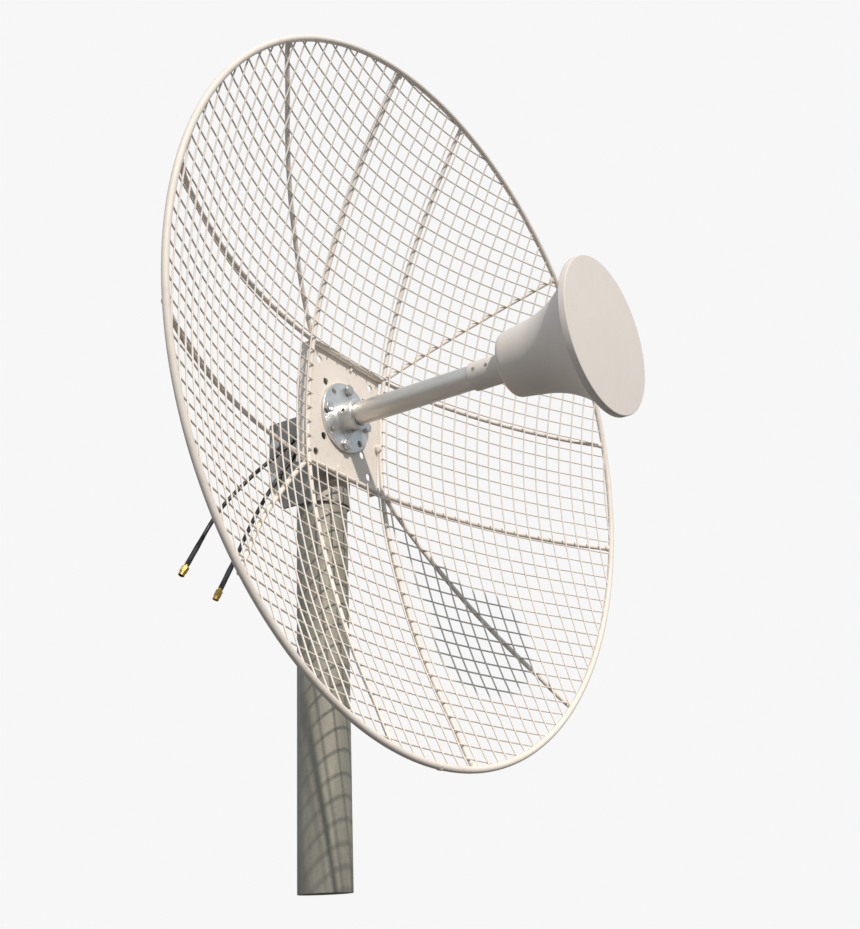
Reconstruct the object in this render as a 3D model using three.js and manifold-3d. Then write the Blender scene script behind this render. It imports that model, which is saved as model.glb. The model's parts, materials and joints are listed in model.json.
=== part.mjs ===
// Mesh satellite dish on a mast: a welded wire reflector with a prime-focus disc feed.
// Millimetres, +Z up the mast, boresight along -Y, origin at the centre of the mast's foot.
import * as THREE from "three";
import { mergeVertices } from "three/addons/utils/BufferGeometryUtils.js";
import Module from "manifold-3d";

const wasm = await Module();
wasm.setup();

// Driving dimensions
const GAP = 0.3; // between pieces that touch
const RIM_RADIUS = 450; // centreline of the rim tube
const RIM_TUBE = 4;
const DISH_DEPTH = 142; // from the vertex to the plane of the rim
const RIB_RADIUS = 3;
const RIB_X = 73.5; // the two upright ribs stand this far either side of the axis
const RIB_Y = 82; // the two level ribs, above and below the axis
const WIRE_PITCH = 20; // of the real welded mesh
const BAR_PITCH = 3 * WIRE_PITCH; // the mesh is drawn with one stouter bar for every three wires
const BAR = 3.4; // side of a bar, which gives the panel the volume of its real wires
const BAR_CLEARANCE = 1; // between the straight chords of bars and ribs, which both bow off the curve
const PANEL_SIDE = 4 * BAR_PITCH;
const PLATE_THICK = 2;
const PLATE_RETURN = 12; // depth of the folded sides
const BOLT_CIRCLE = 38.5; // radius
const BOLT_HOLE = 4.5;
const PLATE_HOLE = 5;
const FLANGE_RADIUS = 46.5;
const FLANGE_THICK = 4.2;
const COLLAR_RADIUS = 20.5;
const COLLAR_END = 23; // in front of the vertex
const SET_SCREW_AT = 12.5;
const SET_SCREW_RADIUS = 2.5;
const TUBE_RADIUS = 15;
const TUBE_WALL = 2;
const SLEEVE_START = 199;
const SLEEVE_RADIUS = 18;
const BELL_START = 240;
const DISC_FRONT = 378;
const DISC_THICK = 9;
const DISC_RADIUS = 95;
const MAST_RADIUS = 31.75;
const MAST_WALL = 3.2;
const MAST_TOP = 633;
const HUB_HEIGHT = 567;
const MAST_TO_VERTEX = 40;
const DISH_TURN_DEG = -3.5; // the dish is bolted on slightly round its own axis
// Where each diagonal rib meets the rim, in degrees from level.
const DIAGONALS = { upper_right: 44.5, upper_left: 130.5, lower_left: 225, lower_right: 312 };
const STRAP_THICK = 3.6;
const STRAP_TOP = 5; // above the dish axis
const STRAP_BOTTOM = -114;
const STRAP_REAR = 58; // behind the mast's axis
const STRAP_SLANT = { height: 38, depth: 24 }; // cut off each cheek's lower rear corner
const CLAMP_BOLT_Y = 44;
const CLAMP_SLOT = { front: 8, rear: 5 }; // the cheeks' slots reach this far either side of the bolt
const CLAMP_LEVELS = { upper: -27, lower: -72 };
const JAW_HEIGHT = 28;
const JAW_DEPTH = { front: 24, rear: 53 };
const BOLT_PAST_NUT = 4;
const PLATE_SET_BACK = 1.3; // behind the backs of the level ribs
const PLATE_OUTER_HOLES = [52.5, 64];
const PLATE_INNER_HOLES = [38.5, 38];
const CORD_RADIUS = 2.5;
const SHRINK_LENGTH = 34; // of the heat-shrink sleeve behind each plug
const PLUG_BODY = 2;
const PLUG_NUT = 12.5;
const PLUG_NUT_FLATS = 8;
const PLUG_THREAD = 2.2; // radius
const M8 = { shank: 4, head: 6.5, headHeight: 4.8, nutHeight: 6.5 };

const ROUND = 24;
const material = {
  coat: new THREE.MeshStandardMaterial({ color: 0xe1d2c6, roughness: 0.55, metalness: 0.1 }),
  aluminium: new THREE.MeshStandardMaterial({ color: 0xb9bbbd, roughness: 0.35, metalness: 0.9 }),
  plastic: new THREE.MeshStandardMaterial({ color: 0xcfc5bb, roughness: 0.6, metalness: 0 }),
  galvanised: new THREE.MeshStandardMaterial({ color: 0x8b8d86, roughness: 0.6, metalness: 0.7 }),
  mast: new THREE.MeshStandardMaterial({ color: 0x736f64, roughness: 0.7, metalness: 0.5 }),
  steel: new THREE.MeshStandardMaterial({ color: 0xc9c4bb, roughness: 0.3, metalness: 0.95 }),
  cable: new THREE.MeshStandardMaterial({ color: 0x232428, roughness: 0.6, metalness: 0 }),
  sleeve: new THREE.MeshStandardMaterial({ color: 0x37373a, roughness: 0.75, metalness: 0 }),
  gold: new THREE.MeshStandardMaterial({ color: 0xc8a55a, roughness: 0.3, metalness: 1 }),
  board: new THREE.MeshStandardMaterial({ color: 0x2f5b3c, roughness: 0.6, metalness: 0 }),
};

const satelliteDish = new THREE.Group();
// In the dish group +X is level, +Y up and +Z forward along the boresight, from the vertex.
const dish = new THREE.Group();
dish.position.set(0, -MAST_TO_VERTEX, HUB_HEIGHT);
dish.rotation.set(Math.PI / 2, 0, THREE.MathUtils.degToRad(DISH_TURN_DEG));
satelliteDish.add(dish);

function add(parent, name, geometry, mat) {
  const mesh = new THREE.Mesh(geometry, mat);
  mesh.name = name;
  parent.add(mesh);
  return mesh;
}

// ---- solids ----

function solid(geometry) {
  const bare = geometry.index ? geometry.toNonIndexed() : geometry.clone();
  bare.deleteAttribute("normal");
  bare.deleteAttribute("uv");
  const welded = mergeVertices(bare, 1e-4);
  return new wasm.Manifold(
    new wasm.Mesh({
      numProp: 3,
      vertProperties: new Float32Array(welded.attributes.position.array),
      triVerts: new Uint32Array(welded.index.array),
    }),
  );
}

function geometryOf(body) {
  const mesh = body.getMesh();
  const geometry = new THREE.BufferGeometry();
  geometry.setAttribute("position", new THREE.BufferAttribute(new Float32Array(mesh.vertProperties), 3));
  geometry.setIndex(new THREE.BufferAttribute(new Uint32Array(mesh.triVerts), 1));
  return geometry.toNonIndexed();
}

function cut(base, ...tools) {
  return geometryOf(tools.reduce((body, tool) => body.subtract(solid(tool)), solid(base)));
}

function join(...pieces) {
  return geometryOf(pieces.map(solid).reduce((body, piece) => body.add(piece)));
}

// A cylinder or prism along Z from z0 to z1, centred on x, y.
function rod(radius, z0, z1, x = 0, y = 0, sides = ROUND) {
  const geometry = new THREE.CylinderGeometry(radius, radius, z1 - z0, sides);
  geometry.rotateX(Math.PI / 2);
  geometry.translate(x, y, (z0 + z1) / 2);
  return geometry;
}

function box(x0, x1, y0, y1, z0, z1) {
  const geometry = new THREE.BoxGeometry(x1 - x0, y1 - y0, z1 - z0);
  geometry.translate((x0 + x1) / 2, (y0 + y1) / 2, (z0 + z1) / 2);
  return geometry;
}

// A body of revolution about Z from a closed profile of [radius, z] points.
function lathe(profile, sides = 40) {
  const points = profile.map(([r, z]) => new THREE.Vector2(r, z));
  const geometry = new THREE.LatheGeometry(points, sides);
  geometry.rotateX(Math.PI / 2);
  return geometry;
}

function hexagon(acrossFlats, z0, z1, x = 0, y = 0) {
  return rod(acrossFlats / Math.sqrt(3), z0, z1, x, y, 6);
}

// A solid of constant section swept along points, with the section's sides counted.
function sweep(points, radius, sides, steps) {
  const section = new THREE.Shape();
  for (let i = 0; i < sides; i += 1) {
    const angle = (2 * Math.PI * (i + 0.5)) / sides;
    const x = radius * Math.cos(angle);
    const y = radius * Math.sin(angle);
    if (i === 0) section.moveTo(x, y);
    else section.lineTo(x, y);
  }
  section.closePath();
  const path = new THREE.CatmullRomCurve3(points, false, "centripetal");
  return new THREE.ExtrudeGeometry(section, { steps, bevelEnabled: false, extrudePath: path });
}

// ---- the reflector's surface ----

const FLAT_RISE = (DISH_DEPTH * (RIB_X ** 2 + RIB_Y ** 2)) / RIM_RADIUS ** 2;

// Height of the rib centrelines over the vertex plane: a paraboloid with a flat middle for the plate.
function surface(x, y) {
  return Math.max(FLAT_RISE, (DISH_DEPTH * (x * x + y * y)) / RIM_RADIUS ** 2);
}

const RIB_STEP_BACK = 2 * RIB_RADIUS + GAP; // the level ribs pass behind the upright ones
const PLATE_FRONT = FLAT_RISE - RIB_STEP_BACK - RIB_RADIUS - PLATE_SET_BACK;
const PLATE_BACK = PLATE_FRONT - PLATE_THICK;
const WIRE_LIFT = RIB_RADIUS + BAR_CLEARANCE + BAR / 2; // the mesh lies on the front of the upright ribs

// ---- mast ----

function buildMast() {
  const outer = MAST_RADIUS;
  const inner = MAST_RADIUS - MAST_WALL;
  const tube = lathe([[inner, 0], [outer, 0], [outer, MAST_TOP], [inner, MAST_TOP], [inner, 0]], 48);
  add(satelliteDish, "mast", tube, material.mast);
}

// ---- mast bracket: a U strap round the front of the mast, with jaws and bolts behind ----

function strapOutline(inset) {
  const half = MAST_RADIUS + GAP + STRAP_THICK - inset;
  const shape = new THREE.Shape();
  shape.moveTo(half, STRAP_REAR);
  shape.lineTo(half, 0);
  shape.absarc(0, 0, half, 0, -Math.PI, true);
  shape.lineTo(-half, STRAP_REAR);
  shape.closePath();
  return shape;
}

function buildStrap() {
  const height = STRAP_TOP - STRAP_BOTTOM;
  const bottom = HUB_HEIGHT + STRAP_BOTTOM;
  const smooth = { bevelEnabled: false, curveSegments: 24 };
  const outer = new THREE.ExtrudeGeometry(strapOutline(0), { depth: height, ...smooth });
  outer.translate(0, 0, bottom);
  const inner = new THREE.ExtrudeGeometry(strapOutline(STRAP_THICK), { depth: height + 2, ...smooth });
  inner.translate(0, 0, bottom - 1);
  // The inside is open at the rear.
  const half = MAST_RADIUS + GAP;
  const mouth = box(-half, half, STRAP_REAR - 1, STRAP_REAR + 1, bottom - 1, bottom + height + 1);
  // The lower rear corners of both cheeks are cut off at a slant.
  const corner = new THREE.Shape();
  corner.moveTo(STRAP_REAR + 1, bottom - 1);
  corner.lineTo(STRAP_REAR + 1, bottom + STRAP_SLANT.height);
  corner.lineTo(STRAP_REAR - STRAP_SLANT.depth, bottom - 1);
  corner.closePath();
  const slant = new THREE.ExtrudeGeometry(corner, { depth: 4 * MAST_RADIUS, bevelEnabled: false });
  slant.rotateY(Math.PI / 2);
  slant.rotateX(Math.PI / 2);
  slant.translate(-2 * MAST_RADIUS, 0, 0);
  const slots = Object.values(CLAMP_LEVELS).map((level) => {
    const ends = [CLAMP_BOLT_Y - CLAMP_SLOT.front, CLAMP_BOLT_Y + CLAMP_SLOT.rear];
    const slot = box(-2 * MAST_RADIUS, 2 * MAST_RADIUS, ...ends, -BOLT_HOLE, BOLT_HOLE);
    slot.translate(0, 0, HUB_HEIGHT + level);
    return slot;
  });
  add(satelliteDish, "mast_strap", cut(outer, inner, mouth, slant, ...slots), material.galvanised);
}

function buildClamp(side, level) {
  const z = HUB_HEIGHT + level;
  const half = MAST_RADIUS;
  const block = box(-half, half, JAW_DEPTH.front, JAW_DEPTH.rear, z - JAW_HEIGHT / 2, z + JAW_HEIGHT / 2);
  const seat = rod(MAST_RADIUS + GAP, z - JAW_HEIGHT, z + JAW_HEIGHT, 0, 0, 48);
  const hole = rod(M8.shank + GAP, -half - 1, half + 1);
  hole.rotateY(Math.PI / 2);
  hole.translate(0, CLAMP_BOLT_Y, z);
  add(satelliteDish, `mast_jaw_${side}`, cut(block, seat, hole), material.galvanised);

  const cheek = MAST_RADIUS + GAP + STRAP_THICK + GAP;
  const bolt = join(
    hexagon(2 * M8.head, -cheek - M8.headHeight, -cheek),
    rod(M8.shank, -cheek - 1, cheek + M8.nutHeight + BOLT_PAST_NUT),
  );
  bolt.rotateY(Math.PI / 2);
  bolt.translate(0, CLAMP_BOLT_Y, z);
  add(satelliteDish, `clamp_bolt_${side}`, bolt, material.steel);

  const nut = cut(
    hexagon(2 * M8.head, cheek, cheek + M8.nutHeight),
    rod(M8.shank + GAP, cheek - 1, cheek + M8.nutHeight + 1),
  );
  nut.rotateY(Math.PI / 2);
  nut.translate(0, CLAMP_BOLT_Y, z);
  add(satelliteDish, `clamp_nut_${side}`, nut, material.steel);
}

// ---- plate and hub ----

function fourCorners(x, y) {
  return [[x, y], [-x, y], [-x, -y], [x, -y]];
}

function ring(count, radius, start = 0) {
  const places = [];
  for (let i = 0; i < count; i += 1) {
    const angle = start + (2 * Math.PI * i) / count;
    places.push([radius * Math.cos(angle), radius * Math.sin(angle)]);
  }
  return places;
}

function buildPlate() {
  const back = PLATE_BACK - PLATE_RETURN;
  const tray = join(
    box(-RIB_X, RIB_X, -RIB_Y, RIB_Y, PLATE_BACK, PLATE_FRONT),
    box(-RIB_X, -RIB_X + PLATE_THICK, -RIB_Y, RIB_Y, back, PLATE_BACK + 1),
    box(RIB_X - PLATE_THICK, RIB_X, -RIB_Y, RIB_Y, back, PLATE_BACK + 1),
  );
  const through = (radius, [x, y]) => rod(radius, PLATE_BACK - 1, PLATE_FRONT + 1, x, y, 16);
  const holes = [
    ...fourCorners(...PLATE_OUTER_HOLES).map((at) => through(PLATE_HOLE, at)),
    ...fourCorners(...PLATE_INNER_HOLES).map((at) => through(PLATE_HOLE, at)),
    ...ring(4, BOLT_CIRCLE).map((at) => through(M8.shank + GAP, at)),
    through(TUBE_RADIUS - TUBE_WALL, [0, 0]),
  ];
  add(dish, "back_plate", cut(tray, ...holes), material.coat);
}

const FLANGE_BACK = PLATE_FRONT + GAP;
const FLANGE_FRONT = FLANGE_BACK + FLANGE_THICK;

function buildHub() {
  const bore = TUBE_RADIUS + GAP;
  const body = lathe([
    [bore, FLANGE_BACK],
    [FLANGE_RADIUS, FLANGE_BACK],
    [FLANGE_RADIUS, FLANGE_FRONT],
    [COLLAR_RADIUS, FLANGE_FRONT],
    [COLLAR_RADIUS, COLLAR_END - 1],
    [COLLAR_RADIUS - 1, COLLAR_END],
    [bore, COLLAR_END],
    [bore, FLANGE_BACK],
  ], 48);
  const through = ([x, y]) => rod(BOLT_HOLE, FLANGE_BACK - 1, FLANGE_FRONT + 1, x, y, 16);
  const holes = ring(8, BOLT_CIRCLE).map(through);
  const taps = [0, 1].map((turn) => {
    const tap = rod(SET_SCREW_RADIUS + GAP, -COLLAR_RADIUS - 5, COLLAR_RADIUS + 5, 0, 0, 12);
    tap.rotateX(Math.PI / 2);
    tap.rotateZ((turn * Math.PI) / 2);
    tap.translate(0, 0, SET_SCREW_AT);
    return tap;
  });
  add(dish, "feed_hub", cut(body, ...holes, ...taps), material.aluminium);
}

function buildHubFasteners() {
  const sides = ["right", "top", "left", "bottom"];
  ring(4, BOLT_CIRCLE).forEach(([x, y], i) => {
    const head = hexagon(2 * M8.head, FLANGE_FRONT + GAP, FLANGE_FRONT + GAP + M8.headHeight, x, y);
    const shank = rod(M8.shank, PLATE_BACK, FLANGE_FRONT + GAP + 1, x, y, 16);
    add(dish, `hub_bolt_${sides[i]}`, join(head, shank), material.steel);
  });
  sides.forEach((side, i) => {
    const screw = rod(SET_SCREW_RADIUS, TUBE_RADIUS + GAP, COLLAR_RADIUS - 1.5, 0, 0, 12);
    screw.rotateY(Math.PI / 2);
    screw.rotateZ((i * Math.PI) / 2);
    screw.translate(0, 0, SET_SCREW_AT);
    add(dish, `set_screw_${side}`, screw, material.steel);
  });
}

// ---- ribs and rim ----

function ribPoints(from, to, stepBack) {
  const steps = 18;
  const points = [];
  for (let i = 0; i <= steps; i += 1) {
    const x = THREE.MathUtils.lerp(from[0], to[0], i / steps);
    const y = THREE.MathUtils.lerp(from[1], to[1], i / steps);
    points.push(new THREE.Vector3(x, y, surface(x, y) - stepBack));
  }
  return points;
}

function addRib(name, from, to, stepBack) {
  const points = ribPoints(from, to, stepBack);
  add(dish, name, sweep(points, RIB_RADIUS, 8, points.length - 1), material.coat);
}

function buildRibs() {
  const inner = RIM_RADIUS - RIM_TUBE - GAP; // the ribs stop at the inside of the rim tube
  const uprightEnd = Math.sqrt(inner ** 2 - (RIB_X + RIB_RADIUS) ** 2);
  const levelEnd = Math.sqrt(inner ** 2 - (RIB_Y + RIB_RADIUS) ** 2);
  addRib("rib_upright_left", [-RIB_X, -uprightEnd], [-RIB_X, uprightEnd], 0);
  addRib("rib_upright_right", [RIB_X, -uprightEnd], [RIB_X, uprightEnd], 0);
  addRib("rib_level_top", [-levelEnd, RIB_Y], [levelEnd, RIB_Y], RIB_STEP_BACK);
  addRib("rib_level_bottom", [-levelEnd, -RIB_Y], [levelEnd, -RIB_Y], RIB_STEP_BACK);
  const plateCorners = fourCorners(RIB_X + 2 * RIB_RADIUS, RIB_Y + 2 * RIB_RADIUS);
  Object.entries(DIAGONALS).forEach(([corner, degrees], i) => {
    const angle = THREE.MathUtils.degToRad(degrees);
    addRib(`rib_diagonal_${corner}`, plateCorners[i], [inner * Math.cos(angle), inner * Math.sin(angle)], 0);
  });
}

function buildRim() {
  const rim = new THREE.TorusGeometry(RIM_RADIUS, RIM_TUBE, 8, 72);
  rim.translate(0, 0, DISH_DEPTH);
  add(dish, "rim", rim, material.coat);
}

// ---- mesh panels ----

// The stretch of a bar at this offset from the axis, inside one panel's span, or null where it can't be.
function barSpan(offset, start, end, platePast, plateHalf) {
  const inner = RIM_RADIUS - RIM_TUBE - GAP;
  const reach = Math.sqrt(Math.max(0, inner ** 2 - (Math.abs(offset) + BAR / 2) ** 2));
  let low = Math.max(start + GAP / 2, -reach);
  let high = Math.min(end - GAP / 2, reach);
  if (Math.abs(offset) < platePast) {
    if (start === 0) low = plateHalf;
    if (end === 0) high = -plateHalf;
  }
  return high - low > BAR_PITCH * 0.6 ? [low, high] : null;
}

function bar(from, to) {
  const steps = Math.max(1, Math.round(Math.hypot(to[0] - from[0], to[1] - from[1]) / BAR_PITCH));
  const along = new THREE.Vector2(to[0] - from[0], to[1] - from[1]);
  const length = along.length();
  const geometry = new THREE.BoxGeometry(length, BAR, BAR, steps, 1, 1);
  geometry.translate(length / 2, 0, 0);
  geometry.rotateZ(Math.atan2(along.y, along.x));
  geometry.translate(from[0], from[1], 0);
  // Bend the straight bar to the dish: every corner is lifted to the surface under the bar's middle.
  const place = geometry.attributes.position;
  for (let i = 0; i < place.count; i += 1) {
    const t = ((place.getX(i) - from[0]) * along.x + (place.getY(i) - from[1]) * along.y) / length ** 2;
    const x = from[0] + t * along.x;
    const y = from[1] + t * along.y;
    place.setZ(i, place.getZ(i) + surface(x, y) + WIRE_LIFT);
  }
  return geometry;
}

function buildPanel(column, row) {
  const x0 = column * PANEL_SIDE;
  const y0 = row * PANEL_SIDE;
  const bars = [];
  for (let i = 0; i < PANEL_SIDE / BAR_PITCH; i += 1) {
    const x = x0 + (i + 0.5) * BAR_PITCH;
    const upright = barSpan(x, y0, y0 + PANEL_SIDE, RIB_X, RIB_Y - 2);
    if (upright) bars.push(bar([x, upright[0]], [x, upright[1]]));
    const y = y0 + (i + 0.5) * BAR_PITCH;
    const level = barSpan(y, x0, x0 + PANEL_SIDE, RIB_Y, RIB_X - 2);
    if (level) bars.push(bar([level[0], y], [level[1], y]));
  }
  const name = `mesh_panel_${row + 3}${column + 3}`;
  add(dish, name, join(...bars), material.coat);
}

// ---- feed ----

function buildFeed() {
  const bore = TUBE_RADIUS - TUBE_WALL;
  const tubeEnd = BELL_START + 6;
  const tube = lathe([
    [bore, FLANGE_BACK],
    [TUBE_RADIUS, FLANGE_BACK],
    [TUBE_RADIUS, tubeEnd],
    [bore, tubeEnd],
    [bore, FLANGE_BACK],
  ], 32);
  add(dish, "feed_tube", tube, material.aluminium);

  // Trumpet: outside from the sleeve to the disc, then back along the inside.
  const socket = TUBE_RADIUS + GAP;
  const skin = DISC_FRONT - DISC_THICK - GAP;
  const horn = lathe([
    [socket, SLEEVE_START],
    [SLEEVE_RADIUS, SLEEVE_START],
    [SLEEVE_RADIUS, BELL_START],
    [32, BELL_START],
    [38, BELL_START + 3],
    [41, BELL_START + 9],
    [44.5, 272],
    [48, 298],
    [55, 319],
    [65, 338],
    [77, 355],
    [88, skin],
    [85, skin],
    [74, 355],
    [62, 338],
    [52, 319],
    [45, 298],
    [41.5, 272],
    [37, BELL_START + 10],
    [32, tubeEnd + GAP],
    [socket, tubeEnd + GAP],
    [socket, SLEEVE_START],
  ], 40);
  const taps = [SLEEVE_START + 9, SLEEVE_START + 27].map((z) => {
    const tap = rod(SET_SCREW_RADIUS + GAP, -SLEEVE_RADIUS - 5, 0, 0, 0, 12);
    tap.rotateY(Math.PI / 2);
    tap.translate(0, 0, z);
    return tap;
  });
  add(dish, "feed_horn", cut(horn, ...taps), material.plastic);
  ["rear", "front"].forEach((end, i) => {
    const screw = rod(SET_SCREW_RADIUS, -SLEEVE_RADIUS + 0.4, -TUBE_RADIUS - GAP, 0, 0, 12);
    screw.rotateY(Math.PI / 2);
    screw.translate(0, 0, SLEEVE_START + 9 + 18 * i);
    add(dish, `horn_screw_${end}`, screw, material.steel);
  });

  const disc = lathe([
    [0, DISC_FRONT - DISC_THICK],
    [DISC_RADIUS - 1.2, DISC_FRONT - DISC_THICK],
    [DISC_RADIUS, DISC_FRONT - DISC_THICK + 1.2],
    [DISC_RADIUS, DISC_FRONT - 1.2],
    [DISC_RADIUS - 1.2, DISC_FRONT],
    [0, DISC_FRONT],
  ], 56);
  add(dish, "feed_disc", disc, material.plastic);

  // The radiating element stands inside the trumpet on the end of the tube.
  const board = join(rod(30, 285, 287, 0, 0, 24), rod(4, 286, tubeEnd + 60, 0, 0, 12));
  add(dish, "feed_element", board, material.board);
  const post = lathe([[0, tubeEnd + GAP], [12, tubeEnd + GAP], [12, 285 - GAP], [0, 285 - GAP]], 20);
  add(dish, "element_post", post, material.aluminium);
}

// ---- coaxial leads ----

// Each route runs from behind the plate, past the strap, out and down to the plug.
const LEAD_ROUTES = {
  outer: [
    [-10, -33.2, 582.5],
    [-16, -32.4, 582],
    [-23, -30.8, 579.5],
    [-30, -27.8, 573.5],
    [-36, -24, 565.5],
    [-42, -20, 556],
    [-49, -15, 545.5],
    [-58.5, -9, 531.5],
    [-70, -4, 517.5],
    [-83.5, 2, 503],
    [-96, 8, 490],
    [-112, 15, 472.5],
    [-126.5, 22, 454.5],
    [-139, 28.5, 438],
    [-150, 34, 421],
    [-159.5, 39, 402.5],
    [-168.5, 43, 383.5],
  ],
  inner: [
    [-10, -33.2, 576.4],
    [-15.5, -32.9, 575.6],
    [-21, -32.1, 573.2],
    [-26.2, -30.3, 568.4],
    [-30.8, -27.6, 561.5],
    [-35.3, -24.4, 553],
    [-40, -20.6, 544],
    [-45.5, -16.6, 534],
    [-52.5, -12.5, 522],
    [-61, -9.2, 508],
    [-70.5, -6, 493.5],
    [-81, -2.8, 478.5],
    [-90, 1, 462.5],
    [-98.5, 6, 446],
    [-106, 11, 428.5],
    [-112.5, 16.5, 410],
    [-118, 21.5, 393],
    [-122.5, 26, 377.5],
    [-127.5, 30, 363],
  ],
};

// Pieces in line behind the end of a lead: turned so that +Z carries on along the lead.
function alongLead(geometry, end, direction) {
  const turn = new THREE.Quaternion().setFromUnitVectors(new THREE.Vector3(0, 0, 1), direction);
  geometry.applyQuaternion(turn);
  geometry.translate(end.x, end.y, end.z);
  return geometry;
}

function buildLead(side) {
  const route = LEAD_ROUTES[side].map(([x, y, z]) => new THREE.Vector3(x, y, z));
  add(satelliteDish, `lead_${side}`, sweep(route, CORD_RADIUS, 8, 36), material.cable);
  const path = new THREE.CatmullRomCurve3(route, false, "centripetal");
  const end = path.getPointAt(1);
  const direction = path.getTangentAt(1);
  const place = (geometry) => alongLead(geometry, end, direction);
  const shrink = lathe([
    [0, GAP],
    [CORD_RADIUS + 0.2, GAP],
    [CORD_RADIUS + 0.6, SHRINK_LENGTH / 4],
    [CORD_RADIUS + 0.6, SHRINK_LENGTH],
    [0, SHRINK_LENGTH],
  ], 12);
  add(satelliteDish, `lead_${side}_shrink`, place(shrink), material.sleeve);
  const bodyStart = SHRINK_LENGTH + GAP;
  const bodyEnd = bodyStart + PLUG_BODY;
  const body = lathe([
    [0, bodyStart],
    [CORD_RADIUS + 0.4, bodyStart],
    [CORD_RADIUS + 0.4, bodyEnd],
    [PLUG_THREAD, bodyEnd],
    [PLUG_THREAD, bodyEnd + PLUG_NUT - 1],
    [0, bodyEnd + PLUG_NUT - 1],
  ], 12);
  add(satelliteDish, `plug_${side}_body`, place(body), material.gold);
  const nut = cut(
    hexagon(PLUG_NUT_FLATS, bodyEnd + GAP, bodyEnd + PLUG_NUT),
    rod(PLUG_THREAD + GAP, bodyEnd - 1, bodyEnd + PLUG_NUT + 1, 0, 0, 12),
  );
  add(satelliteDish, `plug_${side}_nut`, place(nut), material.gold);
}

buildMast();
buildStrap();
Object.entries(CLAMP_LEVELS).forEach(([side, level]) => buildClamp(side, level));
buildPlate();
buildHub();
buildHubFasteners();
buildRim();
buildRibs();
for (let row = -2; row < 2; row += 1) {
  for (let column = -2; column < 2; column += 1) {
    buildPanel(column, row);
  }
}
buildFeed();
Object.keys(LEAD_ROUTES).forEach(buildLead);

export default satelliteDish;
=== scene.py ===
import json
import math
import random

import bmesh
import bpy
from mathutils import Matrix, Vector, noise


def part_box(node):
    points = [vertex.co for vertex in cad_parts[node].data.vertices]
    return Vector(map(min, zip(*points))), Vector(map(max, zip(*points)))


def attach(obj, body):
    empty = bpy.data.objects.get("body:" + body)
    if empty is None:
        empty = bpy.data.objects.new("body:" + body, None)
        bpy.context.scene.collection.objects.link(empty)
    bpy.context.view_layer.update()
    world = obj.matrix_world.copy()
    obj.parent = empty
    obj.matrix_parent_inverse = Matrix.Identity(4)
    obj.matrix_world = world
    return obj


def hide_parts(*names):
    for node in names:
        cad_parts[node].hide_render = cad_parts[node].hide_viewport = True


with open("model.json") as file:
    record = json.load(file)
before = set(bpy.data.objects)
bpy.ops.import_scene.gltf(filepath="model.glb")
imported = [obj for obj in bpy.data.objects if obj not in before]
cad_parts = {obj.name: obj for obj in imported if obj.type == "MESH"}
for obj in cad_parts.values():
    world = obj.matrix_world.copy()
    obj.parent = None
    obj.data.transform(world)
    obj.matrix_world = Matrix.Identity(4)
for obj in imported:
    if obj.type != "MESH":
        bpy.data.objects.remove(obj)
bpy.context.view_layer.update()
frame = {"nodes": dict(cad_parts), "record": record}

random.seed(7)
MM = 0.001
ROOT = Matrix.Identity(4)
BODIES = frame["record"]["behaviour"]["bodies"]
BODY_OF = {node: body for body, nodes in BODIES.items() for node in nodes}

# Dimensions in millimetres, as in the CAD source.
# In the dish +X is level, +Y up and +Z forward from the vertex.
RIM_RADIUS = 450
RIM_TUBE = 4
DISH_DEPTH = 142
RIB_RADIUS = 3
RIB_X = 73.5
RIB_Y = 82
RIB_STEP_BACK = 6.3
RIB_END = RIM_RADIUS - RIM_TUBE + 1.5
LEVEL_STEP_BACK = RIB_STEP_BACK - 0.5
PLATE_DIP = 3.5  # of the ribs and the mesh, onto the plate
RIM_STEP = 3.5  # of the ribs, behind the rim
WIRE_RADIUS = 1.05
UPRIGHT_PITCH, UPRIGHT_PHASE = 20.5, -3.5
LEVEL_PITCH, LEVEL_PHASE = 19.3, 6.0
WIRE_LIFT = RIB_RADIUS + WIRE_RADIUS
WIRE_END = RIM_RADIUS - 2
WIRE_STEP = 14
PLATE_THICK = 2
PLATE_SET_BACK = 1.3
PLATE_RETURN = 12
PLATE_HOLE = 5  # radius
PLATE_OUTER_HOLES = (52.5, 64)
PLATE_INNER_HOLES = (38.5, 38)
BOLT_FLATS = 13
BOLT_RADIUS = 4
BOLT_HEAD = 4.8
CLAMP_HEAD = 5.3
MAST_WALL = 3.2
BOLT_CIRCLE = 38.5
FLANGE_RADIUS = 46.5
FLANGE_THICK = 4.2
COLLAR_RADIUS = 20.5
COLLAR_END = 23
SET_SCREW_AT = 12.5
TAP_RADIUS = 2.8
TUBE_RADIUS = 15
TUBE_BORE = 13  # radius
SLEEVE_START = 199
SLEEVE_RADIUS = 18
HORN_SCREWS = {"rear": SLEEVE_START + 9, "front": SLEEVE_START + 27}
BELL_START = 252
DISC_FRONT = 378
DISC_THICK = 9
DISC_RADIUS = 95
DISC_EDGE = 1.3
CORD_RADIUS = 2.5
PLUG_FLATS = 8
GAP = 0.3
DISH_TURN = math.radians(-3.5)
DIAGONALS = {"upper_right": 44.5, "upper_left": 130.5, "lower_left": 225, "lower_right": 312}

FLAT_RISE = DISH_DEPTH * (RIB_X**2 + RIB_Y**2) / RIM_RADIUS**2
PLATE_FRONT = FLAT_RISE - RIB_STEP_BACK - RIB_RADIUS - PLATE_SET_BACK
PLATE_BACK = PLATE_FRONT - PLATE_THICK
FLANGE_BACK = PLATE_FRONT + GAP
FLANGE_FRONT = FLANGE_BACK + FLANGE_THICK

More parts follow.
